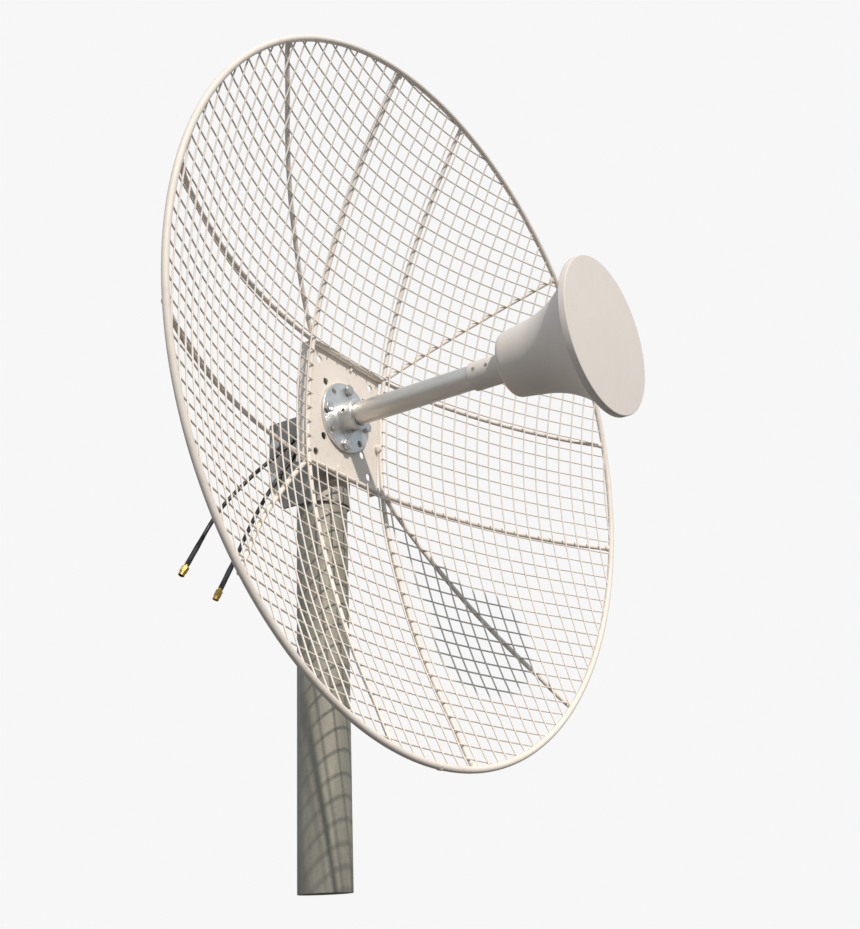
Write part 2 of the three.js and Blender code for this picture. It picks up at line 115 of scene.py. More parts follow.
rim_low, rim_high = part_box("rim")
disc_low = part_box("feed_disc")[0]
mast_low, mast_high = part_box("mast")
rim_middle = (rim_low + rim_high) / 2
VERTEX = Vector((rim_middle.x, disc_low.y + DISC_FRONT * MM, rim_middle.z))
DISH = Matrix.Translation(VERTEX) @ Matrix.Rotation(math.pi / 2, 4, "X")
TURNED = Matrix.Rotation(DISH_TURN, 4, "Z")


# ---- materials ----


def srgb(*values):
    """0 to 255 display values as the linear colour a shader wants."""
    linear = [(v / 255 / 12.92 if v <= 10 else ((v / 255 + 0.055) / 1.055) ** 2.4) for v in values]
    return (*linear, 1.0)


class Finish:
    """A Principled material fed by procedural textures in the piece's own coordinates."""

    def __init__(self, name, colour, metallic=0.0, specular=0.5):
        self.material = bpy.data.materials.new(name)
        self.material.use_nodes = True
        self.tree = self.material.node_tree
        self.shader = self.tree.nodes["Principled BSDF"]
        self.shader.inputs["Metallic"].default_value = metallic
        self.shader.inputs["Specular IOR Level"].default_value = specular
        self.coords = self.tree.nodes.new("ShaderNodeTexCoord").outputs["Object"]
        self.colour = srgb(*colour)
        self.normal = None

    def put(self, value, socket):
        if isinstance(value, bpy.types.NodeSocket):
            self.tree.links.new(value, socket)
        else:
            socket.default_value = value

    def stretched(self, stretch):
        mapping = self.tree.nodes.new("ShaderNodeMapping")
        mapping.inputs["Scale"].default_value = stretch
        self.tree.links.new(self.coords, mapping.inputs["Vector"])
        return mapping.outputs["Vector"]

    def noise(self, scale, detail=4.0, rough=0.55, distortion=0.0, stretch=(1, 1, 1)):
        node = self.tree.nodes.new("ShaderNodeTexNoise")
        settings = {"Scale": scale, "Detail": detail, "Roughness": rough, "Distortion": distortion}
        for key, value in settings.items():
            node.inputs[key].default_value = value
        self.tree.links.new(self.stretched(stretch), node.inputs["Vector"])
        return node.outputs["Fac"]

    def cells(self, scale, feature="F1", output="Color", stretch=(1, 1, 1)):
        node = self.tree.nodes.new("ShaderNodeTexVoronoi")
        node.feature = feature
        node.inputs["Scale"].default_value = scale
        self.tree.links.new(self.stretched(stretch), node.inputs["Vector"])
        return node.outputs[output]

    def wave(self, scale, kind="BANDS", direction="Z", distortion=0.0):
        node = self.tree.nodes.new("ShaderNodeTexWave")
        node.wave_type = kind
        if kind == "BANDS":
            node.bands_direction = direction
        else:
            node.rings_direction = direction
        node.inputs["Scale"].default_value = scale
        node.inputs["Distortion"].default_value = distortion
        self.tree.links.new(self.coords, node.inputs["Vector"])
        return node.outputs["Fac"]

    def span(self, value, low, high, to_low=0.0, to_high=1.0):
        node = self.tree.nodes.new("ShaderNodeMapRange")
        self.tree.links.new(value, node.inputs["Value"])
        limits = {"From Min": low, "From Max": high, "To Min": to_low, "To Max": to_high}
        for key, number in limits.items():
            node.inputs[key].default_value = number
        return node.outputs["Result"]

    def tint(self, factor, colour):
        node = self.tree.nodes.new("ShaderNodeMix")
        node.data_type = "RGBA"
        self.tree.links.new(factor, node.inputs[0])
        self.put(self.colour, node.inputs[6])
        node.inputs[7].default_value = srgb(*colour)
        self.colour = node.outputs[2]
        return self

    def roughness(self, value):
        self.tree.links.new(value, self.shader.inputs["Roughness"])
        return self

    def bump(self, height, strength, distance):
        node = self.tree.nodes.new("ShaderNodeBump")
        node.inputs["Strength"].default_value = strength
        node.inputs["Distance"].default_value = distance
        self.tree.links.new(height, node.inputs["Height"])
        if self.normal is not None:
            self.tree.links.new(self.normal, node.inputs["Normal"])
        self.normal = node.outputs["Normal"]
        return self

    def done(self):
        self.put(self.colour, self.shader.inputs["Base Color"])
        if self.normal is not None:
            self.tree.links.new(self.normal, self.shader.inputs["Normal"])
        return self.material


def make_coat():
    f = Finish("powder_coat", (232, 222, 211), specular=0.4)
    f.tint(f.span(f.noise(14, 5), 0.38, 0.68, 0, 0.6), (222, 212, 200))
    f.tint(f.span(f.noise(95, 6, 0.65), 0.55, 0.72, 0, 0.3), (190, 178, 163))
    f.tint(f.span(f.noise(380, 4, 0.7), 0.68, 0.74, 0, 0.55), (128, 103, 78))
    f.roughness(f.span(f.noise(60, 5), 0.3, 0.7, 0.42, 0.62))
    f.bump(f.noise(1500, 2), 0.22, 0.00012)
    return f.bump(f.noise(240, 4), 0.18, 0.0003).done()


def make_turned():
    f = Finish("turned_aluminium", (222, 222, 220), metallic=0.85, specular=0.5)
    f.tint(f.span(f.noise(55, 6, 0.6), 0.42, 0.66, 0, 0.5), (192, 193, 193))
    f.tint(f.span(f.noise(260, 5, 0.7), 0.6, 0.72, 0, 0.4), (150, 148, 144))
    f.roughness(f.span(f.noise(120, 5, stretch=(1, 1, 3)), 0.3, 0.7, 0.3, 0.5))
    f.bump(f.wave(95, "RINGS", distortion=1.2), 0.16, 0.00012)
    f.bump(f.noise(900, 3, stretch=(0.02, 0.02, 1)), 0.3, 0.00015)
    return f.bump(f.noise(420, 4), 0.12, 0.0002).done()


def make_drawn():
    f = Finish("drawn_aluminium", (222, 218, 211), metallic=0.8, specular=0.5)
    f.tint(f.span(f.noise(22, 6, 0.6, 0.4), 0.4, 0.66, 0, 0.4), (204, 199, 191))
    f.tint(f.span(f.noise(210, 5, 0.7, stretch=(1, 1, 0.12)), 0.56, 0.74, 0, 0.5), (236, 232, 226))
    f.tint(f.span(f.noise(330, 4, 0.7), 0.66, 0.74, 0, 0.4), (140, 133, 124))
    f.roughness(f.span(f.noise(160, 5, stretch=(1, 1, 0.1)), 0.3, 0.7, 0.26, 0.42))
    f.bump(f.noise(700, 3, stretch=(1, 1, 0.02)), 0.25, 0.00012)
    return f.bump(f.noise(300, 4), 0.1, 0.0002).done()


def make_plastic():
    f = Finish("moulded_plastic", (222, 213, 205), specular=0.35)
    f.tint(f.span(f.noise(11, 5), 0.38, 0.66, 0, 0.35), (212, 203, 194))
    f.tint(f.span(f.noise(70, 6, 0.65), 0.55, 0.75, 0, 0.2), (196, 187, 177))
    f.tint(f.span(f.noise(520, 3, 0.7), 0.68, 0.75, 0, 0.5), (139, 128, 115))
    f.roughness(f.span(f.noise(45, 5), 0.3, 0.7, 0.46, 0.66))
    f.bump(f.noise(1300, 3), 0.2, 0.0001)
    return f.bump(f.noise(150, 4), 0.1, 0.0003).done()


def make_galvanised():
    f = Finish("galvanised_steel", (158, 154, 146), metallic=0.55, specular=0.5)
    f.tint(f.span(f.cells(150, output="Distance"), 0.1, 0.75, 0, 0.7), (183, 177, 167))
    f.tint(f.span(f.noise(28, 6, 0.6), 0.4, 0.66, 0, 0.7), (131, 128, 120))
    f.tint(f.span(f.noise(300, 5, 0.7), 0.62, 0.74, 0, 0.6), (101, 92, 78))
    f.roughness(f.span(f.cells(150, output="Distance"), 0.1, 0.8, 0.42, 0.66))
    f.bump(f.cells(150, output="Distance"), 0.12, 0.0003)
    return f.bump(f.noise(600, 4), 0.2, 0.0002).done()


def make_mast():
    f = Finish("weathered_mast", (161, 157, 144), metallic=0.42, specular=0.4)
    f.tint(f.span(f.noise(16, 6, 0.6, 0.5, (1, 1, 0.25)), 0.36, 0.68, 0, 0.7), (140, 136, 124))
    f.tint(f.span(f.noise(120, 6, 0.65, stretch=(1, 1, 0.1)), 0.52, 0.72, 0, 0.5), (186, 179, 165))
    f.tint(f.span(f.noise(260, 5, 0.7), 0.58, 0.72, 0, 0.5), (108, 103, 92))
    f.tint(f.span(f.noise(75, 4, 0.6), 0.66, 0.74, 0, 0.4), (200, 193, 178))
    f.roughness(f.span(f.noise(90, 5), 0.3, 0.7, 0.5, 0.74))
    f.bump(f.noise(520, 5, 0.65), 0.3, 0.0003)
    return f.bump(f.noise(60, 5), 0.15, 0.0006).done()


def make_fastener():
    f = Finish("bright_fastener", (212, 210, 205), metallic=0.92, specular=0.5)
    f.tint(f.span(f.noise(180, 5, 0.6), 0.45, 0.68, 0, 0.6), (172, 168, 160))
    f.tint(f.span(f.noise(520, 4, 0.7), 0.62, 0.72, 0, 0.5), (120, 108, 90))
    f.roughness(f.span(f.noise(320, 4), 0.3, 0.7, 0.2, 0.4))
    return f.bump(f.noise(1400, 3), 0.2, 0.0001).done()


def make_cable():
    f = Finish("cable_jacket", (30, 31, 35), specular=0.5)
    f.tint(f.span(f.noise(60, 5), 0.42, 0.7, 0, 0.7), (47, 48, 52))
    f.tint(f.span(f.noise(600, 4, 0.7), 0.62, 0.74, 0, 0.4), (84, 82, 78))
    f.roughness(f.span(f.noise(220, 4), 0.3, 0.7, 0.36, 0.56))
    return f.bump(f.noise(1600, 2), 0.18, 0.0001).done()


def make_shrink():
    f = Finish("heat_shrink", (50, 50, 53), specular=0.35)
    f.tint(f.span(f.noise(140, 5), 0.42, 0.7, 0, 0.7), (64, 63, 64))
    f.tint(f.span(f.noise(800, 4, 0.7), 0.62, 0.74, 0, 0.4), (96, 92, 88))
    f.roughness(f.span(f.noise(300, 4), 0.3, 0.7, 0.6, 0.8))
    f.bump(f.noise(420, 4, stretch=(1, 1, 0.25)), 0.35, 0.0002)
    return f.bump(f.noise(1800, 2), 0.2, 0.0001).done()


def make_gold():
    f = Finish("gold_plating", (214, 176, 98), metallic=1.0, specular=0.5)
    f.tint(f.span(f.noise(240, 5), 0.42, 0.7, 0, 0.6), (190, 148, 78))
    f.tint(f.span(f.noise(900, 3, 0.7), 0.62, 0.74, 0, 0.5), (136, 103, 55))
    f.roughness(f.span(f.noise(500, 4), 0.3, 0.7, 0.2, 0.36))
    return f.bump(f.noise(2000, 2), 0.15, 0.00008).done()


def make_board():
    f = Finish("element_board", (46, 92, 60), specular=0.5)
    f.tint(f.span(f.wave(40, "RINGS"), 0.55, 0.6, 0, 1), (176, 130, 72))
    f.tint(f.span(f.noise(160, 5), 0.5, 0.7, 0, 0.5), (34, 70, 46))
    f.roughness(f.span(f.noise(260, 4), 0.3, 0.7, 0.35, 0.55))
    return f.bump(f.wave(40, "RINGS"), 0.3, 0.0002).done()


FINISHES = {
    "coat": make_coat(),
    "aluminium": make_turned(),
    "drawn": make_drawn(),
    "plastic": make_plastic(),
    "galvanised": make_galvanised(),
    "mast": make_mast(),
    "fastener": make_fastener(),
    "cable": make_cable(),
    "shrink": make_shrink(),
    "gold": make_gold(),
    "board": make_board(),
}


# ---- mesh building, in millimetres ----


class Shape:
    """Vertices in millimetres and faces, gathered before they become one mesh."""

    def __init__(self, verts=(), faces=()):
        self.verts = [Vector(v) for v in verts]
        self.faces = [tuple(f) for f in faces]

    def add(self, *others):
        for other in others:
            start = len(self.verts)
            self.verts += other.verts
            self.faces += [tuple(start + i for i in f) for f in other.faces]
        return self

    def moved(self, matrix):
        return Shape([matrix @ v for v in self.verts], self.faces)


def skin(loops, around=False, caps=True):
    """A surface through loops of points. It closes on itself if around, or else at its caps."""
    n, count = len(loops[0]), len(loops)
    faces = []
    for i in range(count if around else count - 1):
        a, b = i * n, (i + 1) % count * n
        faces += [(a + j, a + (j + 1) % n, b + (j + 1) % n, b + j) for j in range(n)]
    if caps and not around:
        faces += [tuple(reversed(range(n))), tuple(range((count - 1) * n, count * n))]
    return Shape([p for loop in loops for p in loop], faces)


def circle(radius, z, sides, wobble=None):
    points = []
    for i in range(sides):
        angle = 2 * math.pi * i / sides
        r = radius + (wobble(angle, z) if wobble else 0)
        points.append(Vector((r * math.cos(angle), r * math.sin(angle), z)))
    return points


def lathe(profile, sides=96, around=True, wobble=None):
    """(radius, z) points turned about Z: a ring if around, or else a solid between two end faces."""
    return skin([circle(r, z, sides, wobble) for r, z in profile], around)


def rounded(profile, radii, steps=4, around=True):
    """The profile with its corners rounded. radii is one number, or one for each corner."""
    result, count = [], len(profile)
    for i in range(count):
        radius = radii[i] if isinstance(radii, (list, tuple)) else radii
        here = Vector(profile[i])
        if radius == 0 or (not around and i in (0, count - 1)):
            result.append(here)
            continue
        before, after = Vector(profile[i - 1]) - here, Vector(profile[(i + 1) % count]) - here
        reach = min(radius, 0.48 * before.length, 0.48 * after.length)
        start, end = here + before.normalized() * reach, here + after.normalized() * reach
        for k in range(steps + 1):
            t = k / steps
            result.append(start * (1 - t) ** 2 + here * 2 * t * (1 - t) + end * t * t)
    return result


def catmull(points, per_span):
    """Points along a centripetal Catmull-Rom curve, as the CAD source draws it."""
    pts = [Vector(p) for p in points]
    pts = [2 * pts[0] - pts[1], *pts, 2 * pts[-1] - pts[-2]]
    curve = []
    for i in range(1, len(pts) - 2):
        p = pts[i - 1 : i + 3]
        t = [0.0]
        for a, b in zip(p, p[1:]):
            t.append(t[-1] + (b - a).length ** 0.5)

        def between(a, b, ta, tb, at):
            return a * ((tb - at) / (tb - ta)) + b * ((at - ta) / (tb - ta))

        for k in range(per_span + (i == len(pts) - 3)):
            at = t[1] + (t[2] - t[1]) * k / per_span
            a = [between(p[j], p[j + 1], t[j], t[j + 1], at) for j in range(3)]
            b = [between(a[j], a[j + 1], t[j], t[j + 2], at) for j in range(2)]
            curve.append(between(b[0], b[1], t[1], t[2], at))
    return curve


def rod(points, radius, sides=12):
    """A round bar along points. radius is one number, or one for each point."""
    pts = [Vector(p) for p in points]
    loops, side = [], None
    for i, p in enumerate(pts):
        along = (pts[min(i + 1, len(pts) - 1)] - pts[max(i - 1, 0)]).normalized()
        if side is None:
            side = along.orthogonal().normalized()
        side = (side - along * side.dot(along)).normalized()
        other = along.cross(side)
        r = radius[i] if isinstance(radius, (list, tuple)) else radius
        turns = [2 * math.pi * k / sides for k in range(sides)]
        loops.append([p + (side * math.cos(a) + other * math.sin(a)) * r for a in turns])
    return skin(loops)


def hexagon(across, z0, z1, chamfer_low=False, chamfer_high=True):
    """A hexagonal prism along Z whose corners are turned off at the chamfered ends."""
    corner, inner, depth = across / math.sqrt(3), across * 0.475, across * 0.055
    levels = [(z0, corner)]
    if chamfer_low:
        levels = [(z0, inner), (z0 + depth * 0.5, (inner + corner) / 2), (z0 + depth, corner)]
    if chamfer_high:
        levels += [(z1 - depth, corner), (z1 - depth * 0.5, (inner + corner) / 2), (z1, inner)]
    else:
        levels.append((z1, corner))
    loops = []
    for z, limit in levels:
        loop = []
        for i in range(48):
            angle = 2 * math.pi * i / 48
            flat = across / 2 / math.cos(angle % (math.pi / 3) - math.pi / 6)
            r = min(flat, limit)
            loop.append(Vector((r * math.cos(angle), r * math.sin(angle), z)))
        loops.append(loop)
    return skin(loops)


def thread(radius, z0, z1, pitch=1.25, sides=24):
    """A threaded shank: crests and roots a half pitch apart, with a turned point at its end."""
    profile, z, crest = [(radius, z0)], z0 + pitch / 2, False
    while z < z1 - pitch:
        profile.append((radius if crest else radius * 0.86, z))
        z, crest = z + pitch / 2, not crest
    point = [(radius * 0.92, z1 - pitch * 0.6), (radius * 0.75, z1)]
    return lathe([*profile, *point], sides, around=False)


def bead(at, size, squash=(1, 1, 1)):
    """A lump of weld."""
    bm = bmesh.new()
    bmesh.ops.create_icosphere(bm, subdivisions=3, radius=1)
    shift = Vector([random.uniform(0, 50) for _ in range(3)])
    verts = []
    for v in bm.verts:
        lumps = 0.28 * noise.noise(v.co * 1.6 + shift) + 0.12 * noise.noise(v.co * 4 + shift)
        swell = size * (1 + lumps)
        verts.append(Vector(at) + Vector([c * s for c, s in zip(v.co * swell, squash)]))
    shape = Shape(verts, [[v.index for v in f.verts] for f in bm.faces])
    bm.free()
    return shape


def object_of(shape, name="tool"):
    mesh = bpy.data.meshes.new(name)
    mesh.from_pydata(shape.verts, [], shape.faces)
    obj = bpy.data.objects.new(name, mesh)
    bpy.context.scene.collection.objects.link(obj)
    return obj


def cut(shape, *tools):
    """The shape with the tools' volumes taken out."""
    base = object_of(tidy(shape))
    cutter = object_of(tidy(Shape().add(*tools)))
    change = base.modifiers.new("cut", "BOOLEAN")
    change.operation, change.solver, change.object = "DIFFERENCE", "EXACT", cutter
    mesh = base.evaluated_get(bpy.context.evaluated_depsgraph_get()).to_mesh()
    result = Shape([v.co for v in mesh.vertices], [list(p.vertices) for p in mesh.polygons])
    for o in (base, cutter):
        bpy.data.objects.remove(o)
    return result


def tidy(shape):
    """The shape with doubled vertices joined and its faces turned outwards."""
    bm = bmesh.new()
    verts = [bm.verts.new(v) for v in shape.verts]
    for face in shape.faces:
        bm.faces.new([verts[i] for i in face])
    bmesh.ops.remove_doubles(bm, verts=bm.verts, dist=1e-4)
    bmesh.ops.recalc_face_normals(bm, faces=bm.faces)
    bm.verts.index_update()
    result = Shape([v.co for v in bm.verts], [[v.index for v in f.verts] for f in bm.faces])
    bm.free()
    return result


def piece(name, shape, finish, nodes, place=ROOT, body=None, smooth=38):
    """One named object made from a shape. It rides on its nodes' body and stands for them."""
    turn = TURNED if place is DISH else ROOT
    obj = object_of(tidy(shape).moved(Matrix.Scale(MM, 4) @ turn), name)
    obj.data.shade_smooth()
    obj.data.set_sharp_from_angle(angle=math.radians(smooth))
    obj.data.materials.append(FINISHES[finish])
    obj.matrix_world = place
    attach(obj, body or BODY_OF[nodes[0]])
    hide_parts(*nodes)
    return obj


def refined(name, node, finish, width, segments=2):
    """The CAD node's own shape with its edges broken."""
    bm = bmesh.new()
    bm.from_mesh(frame["nodes"][node].data)
    bmesh.ops.remove_doubles(bm, verts=bm.verts, dist=2e-5)
    bmesh.ops.dissolve_limit(bm, angle_limit=math.radians(1), verts=bm.verts, edges=bm.edges)
    sharp = [e for e in bm.edges if e.is_manifold and e.calc_face_angle() > math.radians(32)]
    bmesh.ops.bevel(
        bm, geom=sharp, offset=width * MM, offset_type="OFFSET", segments=segments, profile=0.5,
        affect="EDGES", clamp_overlap=True,
    )
    shape = Shape([v.co / MM for v in bm.verts], [[v.index for v in f.verts] for f in bm.faces])
    bm.free()
    obj = piece(name, shape, finish, [node], smooth=32)
    obj.modifiers.new("normals", "WEIGHTED_NORMAL").keep_sharp = True
    return obj


# ---- camera ----

CAMERA_FROM_VERTEX = Vector((-1.1793, -0.9352, -0.6172))
CAMERA_HEADING = math.radians(56.06)
CAMERA_PITCH = math.radians(23.24)
CAMERA_ROLL = math.radians(-2.74)
CAMERA_LENS = 48.95
CAMERA_SHIFT = (-0.0062, -0.0754)


def make_camera():
    data = bpy.data.cameras.new("camera")
    data.lens = CAMERA_LENS
    data.shift_x, data.shift_y = CAMERA_SHIFT
    data.clip_start, data.clip_end = 0.05, 60
    camera = bpy.data.objects.new("camera", data)
    bpy.context.scene.collection.objects.link(camera)
    level = math.cos(CAMERA_PITCH)
    across, ahead = math.sin(CAMERA_HEADING), math.cos(CAMERA_HEADING)
    look = Vector((across * level, ahead * level, math.sin(CAMERA_PITCH)))
    right = Vector((ahead, -across, 0))
    up = right.cross(look)
    turned_right = right * math.cos(CAMERA_ROLL) + up * math.sin(CAMERA_ROLL)
    turned_up = up * math.cos(CAMERA_ROLL) - right * math.sin(CAMERA_ROLL)
    turn = Matrix((turned_right, turned_up, -look)).transposed().to_4x4()
    camera.matrix_world = Matrix.Translation(VERTEX + CAMERA_FROM_VERTEX) @ turn
    bpy.context.scene.camera = camera


make_camera()

# ---- coaxial leads: the CAD routes, in metres ----

LEAD_ROUTES = {
    "outer": [
        (-0.01, -0.0332, 0.5825),
        (-0.016, -0.0324, 0.582),
        (-0.023, -0.0308, 0.5795),
        (-0.03, -0.0278, 0.5735),
        (-0.036, -0.024, 0.5655),
        (-0.042, -0.02, 0.556),
        (-0.049, -0.015, 0.5455),
        (-0.0585, -0.009, 0.5315),
        (-0.07, -0.004, 0.5175),
        (-0.0835, 0.002, 0.503),
        (-0.096, 0.008, 0.49),
        (-0.112, 0.015, 0.4725),
        (-0.1265, 0.022, 0.4545),
        (-0.139, 0.0285, 0.438),
        (-0.15, 0.034, 0.421),
        (-0.1595, 0.039, 0.4025),
        (-0.1685, 0.043, 0.3835),
    ],
    "inner": [
        (-0.01, -0.0332, 0.5764),
        (-0.0155, -0.0329, 0.5756),
        (-0.021, -0.0321, 0.5732),
        (-0.0262, -0.0303, 0.5684),
        (-0.0308, -0.0276, 0.5615),
        (-0.0353, -0.0244, 0.553),
        (-0.04, -0.0206, 0.544),
        (-0.0455, -0.0166, 0.534),
        (-0.0525, -0.0125, 0.522),
        (-0.061, -0.0092, 0.508),
        (-0.0705, -0.006, 0.4935),
        (-0.081, -0.0028, 0.4785),
        (-0.09, 0.001, 0.4625),
        (-0.0985, 0.006, 0.446),
        (-0.106, 0.011, 0.4285),
        (-0.1125, 0.0165, 0.41),
        (-0.118, 0.0215, 0.393),
        (-0.1225, 0.026, 0.3775),
        (-0.1275, 0.03, 0.363),
    ],
}
SHRINK_END = 34
PLUG_END = 36.3
NUT_END = 48.8


def shrink_shape():
    """Heat-shrink sleeve: it tapers onto the jacket and shows the shapes under it."""
    shift = random.uniform(0, 40)

    def crease(angle, z):
        return 0.1 * noise.noise(Vector((math.cos(angle), math.sin(angle), z * 0.25 + shift)) * 2.2)

    outline = [
        (2.56, -7), (2.62, -4), (2.7, 0), (2.85, 4), (3.05, 9), (3.1, 15), (3.05, 21), (3.12, 28),
        (3.1, SHRINK_END - 0.4),
    ]
    profile = [(p.x, p.y) for p in catmull([Vector((r, z, 0)) for r, z in outline], 4)]
    end = [(2.9, SHRINK_END), (2.4, SHRINK_END)]
    return lathe([*profile, *end], 28, around=False, wobble=crease)


def plug_shape():
    """Plug body: crimp ferrule, shoulder, then the core and its pin inside the nut."""
    start = SHRINK_END
    ferrule = [(2.4, start + 0.1), (2.9, start + GAP), (2.9, start + 1.1), (2.6, start + 1.4)]
    shoulder = [(2.6, PLUG_END), (2.2, PLUG_END), (2.2, NUT_END - 1), (1.9, NUT_END - 0.9)]
    core = [(1.9, NUT_END - 3.4), (0.6, NUT_END - 3.4), (0.6, NUT_END - 1.2), (0.3, NUT_END - 0.9)]
    return lathe([*ferrule, *shoulder, *core], 32, around=False)


def nut_shape():
    shell = hexagon(PLUG_FLATS, PLUG_END + GAP, NUT_END - 4.5, True, True)
    collar = lathe([(3.85, NUT_END - 4.9), (3.85, NUT_END - 0.4), (3.5, NUT_END)], 40, around=False)
    inside = [(2.5, PLUG_END - 1), (2.5, NUT_END - 4), (2.95, NUT_END - 3.6), (2.95, NUT_END + 1)]
    bore = lathe(inside, 32, around=False)
    return Shape().add(cut(shell, bore), cut(collar, bore))


def make_lead(side):
    route = catmull(LEAD_ROUTES[side], 8)
    data = bpy.data.curves.new(f"lead_{side}_cable", "CURVE")
    data.dimensions = "3D"
    data.bevel_depth = CORD_RADIUS * MM
    data.bevel_resolution = 5
    data.use_fill_caps = True
    line = data.splines.new("POLY")
    line.points.add(len(route) - 1)
    for point, at in zip(line.points, route):
        point.co = (*at, 1)
    line.use_smooth = True
    cable = bpy.data.objects.new(data.name, data)
    bpy.context.scene.collection.objects.link(cable)
    data.materials.append(FINISHES["cable"])
    node = f"lead_{side}"
    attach(cable, BODY_OF[node])
    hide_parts(node)
    turn = Vector((0, 0, 1)).rotation_difference(route[-1] - route[-2]).to_matrix().to_4x4()
    place = Matrix.Translation(route[-1]) @ turn
    pieces = [
        piece(f"lead_{side}_sleeve", shrink_shape(), "shrink", [f"lead_{side}_shrink"], place),
        piece(f"plug_{side}_core", plug_shape(), "gold", [f"plug_{side}_body"], place),
        piece(f"plug_{side}_coupling", nut_shape(), "gold", [f"plug_{side}_nut"], place),
    ]


for lead in LEAD_ROUTES:
    make_lead(lead)

# ---- mast and bracket ----


def four_corners(x, y):
    return [(x, y), (-x, y), (-x, -y), (x, -y)]


def around_circle(count, radius):
    turns = [2 * math.pi * i / count for i in range(count)]
    return [(radius * math.cos(a), radius * math.sin(a)) for a in turns]


def drill(radius, x, y, z0, z1, sides=28):
    return lathe([(radius, z0), (radius, z1)], sides, around=False).moved(Matrix.Translation((x, y, 0)))


def make_mast_pieces():
    radius, top = (mast_high.x - mast_low.x) / 2 / MM, mast_high.z / MM
    bore = radius - MAST_WALL
    outline = rounded([(bore, 0), (radius, 0), (radius, top), (bore, top)], 0.9, 3)
    piece("mast_tube", lathe(outline, 128), "mast", ["mast"])
    refined("mast_bracket", "mast_strap", "galvanised", 0.7)
    for level in ("upper", "lower"):
        refined(f"clamp_jaw_{level}", f"mast_jaw_{level}", "galvanised", 1.0)
        low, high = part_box(f"clamp_bolt_{level}")
        nut_low, nut_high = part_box(f"clamp_nut_{level}")
        centre = (low + high) / 2
        place = Matrix.Translation((0, centre.y, centre.z)) @ Matrix.Rotation(math.pi / 2, 4, "Y")
        start, end, nut = low.x / MM, high.x / MM, (nut_low.x / MM, nut_high.x / MM)
        head = start + CLAMP_HEAD
        bolt = Shape().add(
            hexagon(BOLT_FLATS, start, head, True, False),
            lathe([(6.3, head - 0.1), (6.3, head + 0.2)], 48, around=False),
            rod([(0, 0, head - 1), (0, 0, nut[0] - 12)], BOLT_RADIUS, 32),
            thread(BOLT_RADIUS, nut[0] - 12.5, end),
        )
        piece(f"clamp_bolt_{level}_hex", bolt, "fastener", [f"clamp_bolt_{level}"], place)
        hole = drill(BOLT_RADIUS + 0.15, 0, 0, nut[0] - 1, nut[1] + 1, 32)
        ring = cut(hexagon(BOLT_FLATS, *nut, True, True), hole)
        piece(f"clamp_nut_{level}_hex", ring, "fastener", [f"clamp_nut_{level}"], place)


make_mast_pieces()

# ---- plate and hub ----


def make_plate():
    back = PLATE_BACK - PLATE_RETURN
    inner = RIB_X - PLATE_THICK
    section = rounded(
        [
            (-RIB_X, back), (-RIB_X, PLATE_FRONT), (RIB_X, PLATE_FRONT), (RIB_X, back),
            (inner, back), (inner, PLATE_BACK), (-inner, PLATE_BACK), (-inner, back),
        ],
        [0.8, 4.2, 4.2, 0.8, 0.8, 1.4, 1.4, 0.8],
    )
    tray = skin([[Vector((p.x, y, p.y)) for p in section] for y in (-RIB_Y, RIB_Y)])
    z = (PLATE_BACK - 2, PLATE_FRONT + 2)
    places = four_corners(*PLATE_OUTER_HOLES) + four_corners(*PLATE_INNER_HOLES)
    holes = [drill(PLATE_HOLE, x, y, *z) for x, y in places]
    holes += [drill(BOLT_RADIUS + GAP, x, y, *z) for x, y in around_circle(4, BOLT_CIRCLE)]
    holes.append(drill(TUBE_BORE, 0, 0, *z))
    plate = cut(tray, *holes)
    for x, y in four_corners(RIB_X - 1.5, RIB_Y - 1):
        plate.add(bead((x, y, PLATE_FRONT + 0.8), 2.8, (1.2, 1, 0.8)))
    plate.add(bead((RIB_X - 5, -19, PLATE_FRONT + 2.8), 4.8, (1, 1.2, 0.9)))
    plate.add(bead((RIB_X - 4.5, 62, PLATE_FRONT + 0.7), 2.0, (1, 1.3, 0.6)))
    plate.add(bead((-10, -RIB_Y + 10, PLATE_FRONT + 0.5), 2.4, (0.8, 1.6, 0.6)))
    plate.add(bead((-RIB_X + 3, 22, PLATE_FRONT + 0.7), 2.2, (1, 1.4, 0.6)))
    tab = rounded([(-6, -1.6), (6, -1.6), (6, 1.6), (-6, 1.6)], 1.0)
    strip = skin([[Vector((p.x, p.y, z)) for p in tab] for z in (0, 2.6)])
    turn = Matrix.Translation((11, 76.5, PLATE_FRONT)) @ Matrix.Rotation(math.radians(60), 4, "Z")
    plate.add(strip.moved(turn))
    piece("backing_plate", plate, "coat", ["back_plate"], DISH)


